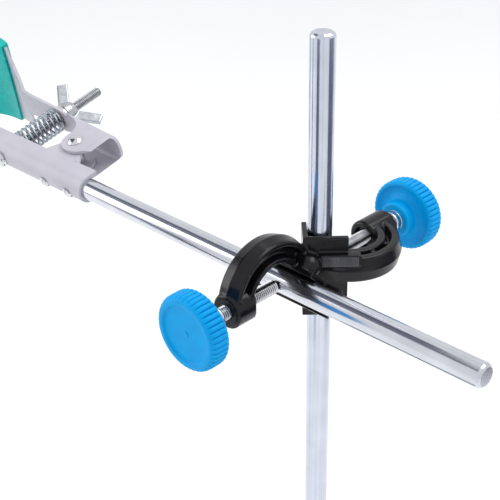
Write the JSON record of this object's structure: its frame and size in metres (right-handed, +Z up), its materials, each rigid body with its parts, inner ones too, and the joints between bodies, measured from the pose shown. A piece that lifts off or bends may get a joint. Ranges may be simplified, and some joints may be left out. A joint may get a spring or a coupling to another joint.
{
  "type": "retort stand",
  "caption": "Laboratory retort stand: weighted plate base, upright rod, boss head with thumbscrews, and an arm rod with a sprung two-finger flask clamp.",
  "frame": {"origin": "on the bench under the middle of the base plate, which is the middle of the whole part's footprint", "axes": "+Z up along the post, +X along the arm rod towards its free end, so the clamp is on -X; -Y is the side of the arm rod and its thumbscrew"},
  "size_m": [0.3828, 0.16, 0.507],
  "materials": {
    "base_paint": "hammered grey enamel",
    "foot_rubber": "matt",
    "plated_rod": "bright zinc plate",
    "plated_hardware": "bright zinc plate",
    "boss_paint": "gloss black enamel",
    "knob_plastic": "moulded, semi gloss",
    "jaw_paint": "light grey powder coat",
    "palm_vinyl": "dipped vinyl, soft gloss"
  },
  "bodies": {
    "base": {"base_plate": "base_paint", "rubber_feet": "foot_rubber", "post_lock_nut": "plated_hardware"},
    "post": {"post": "plated_rod"},
    "boss": {"boss_head": "boss_paint"},
    "arm_screw": {"arm_screw_shank": "plated_hardware"},
    "arm_knob": {"arm_screw_knob": "knob_plastic"},
    "post_screw": {"post_screw_shank": "plated_hardware"},
    "post_knob": {"post_screw_knob": "knob_plastic"},
    "arm": {"arm_rod": "plated_rod"},
    "clamp": {"fixed_jaw": "jaw_paint", "fixed_jaw_coat": "palm_vinyl", "rod_rivets": "plated_hardware", "pivot_rivet": "plated_hardware", "clamp_bolt": "plated_hardware", "jaw_spring": "plated_hardware"},
    "jaw": {"moving_jaw": "jaw_paint", "moving_jaw_coat": "palm_vinyl"},
    "washer": {"washer": "plated_hardware"},
    "wing_nut": {"wing_nut": "plated_hardware"}
  },
  "joints": [
    {"name": "post_turn", "type": "hinge", "parent": "base", "child": "post", "pos_m": [0.0985, 0, 0], "axis": [0, 0, 1], "continuous": true},
    {"name": "boss_slide", "type": "slide", "parent": "post", "child": "boss", "axis": [0, 0, 1], "range_m": [-0.31, 0.075]},
    {"name": "arm_slide", "type": "slide", "parent": "boss", "child": "arm", "axis": [1, 0, 0], "range_m": [-0.065, 0.085]},
    {"name": "clamp_roll", "type": "hinge", "parent": "arm", "child": "clamp", "pos_m": [0.0985, -0.0174, 0.4067], "axis": [1, 0, 0], "continuous": true},
    {"name": "arm_screw_feed", "type": "slide", "parent": "boss", "child": "arm_screw", "axis": [0, -1, 0], "range_m": [0, 0.004]},
    {"name": "arm_knob_turn", "type": "hinge", "parent": "arm_screw", "child": "arm_knob", "pos_m": [0.0945, -0.0174, 0.4067], "axis": [0, -1, 0], "range_deg": [-0.5, 1440.5]},
    {"name": "post_screw_feed", "type": "slide", "parent": "boss", "child": "post_screw", "axis": [0, 1, 0], "range_m": [0, 0.004]},
    {"name": "post_knob_turn", "type": "hinge", "parent": "post_screw", "child": "post_knob", "pos_m": [0.0985, 0, 0.41], "axis": [0, 1, 0], "range_deg": [-0.5, 1440.5]},
    {"name": "jaw_swing", "type": "hinge", "parent": "clamp", "child": "jaw", "pos_m": [-0.0565, -0.00146, 0.41097], "axis": [0, 0.2588, -0.9659], "range_deg": [-5.5, 7.7], "deforming": ["jaw_spring"]},
    {"name": "washer_feed", "type": "slide", "parent": "clamp", "child": "washer", "axis": [0, 0.9659, 0.2588], "range_m": [-0.004, 0.0056]},
    {"name": "wing_nut_turn", "type": "hinge", "parent": "washer", "child": "wing_nut", "pos_m": [-0.0931, -0.0174, 0.4067], "axis": [0, 0.9659, 0.2588], "range_deg": [-1801, 2521]}
  ],
  "couplings": [
    {"joint": "arm_knob_turn", "follows": "arm_screw_feed", "rad_per_m": 6283.2},
    {"joint": "post_knob_turn", "follows": "post_screw_feed", "rad_per_m": 6283.2},
    {"joint": "wing_nut_turn", "follows": "washer_feed", "rad_per_m": 7854},
    {"joint": "jaw_swing", "follows": "washer_feed", "rad_per_m": 23.81}
  ]
}
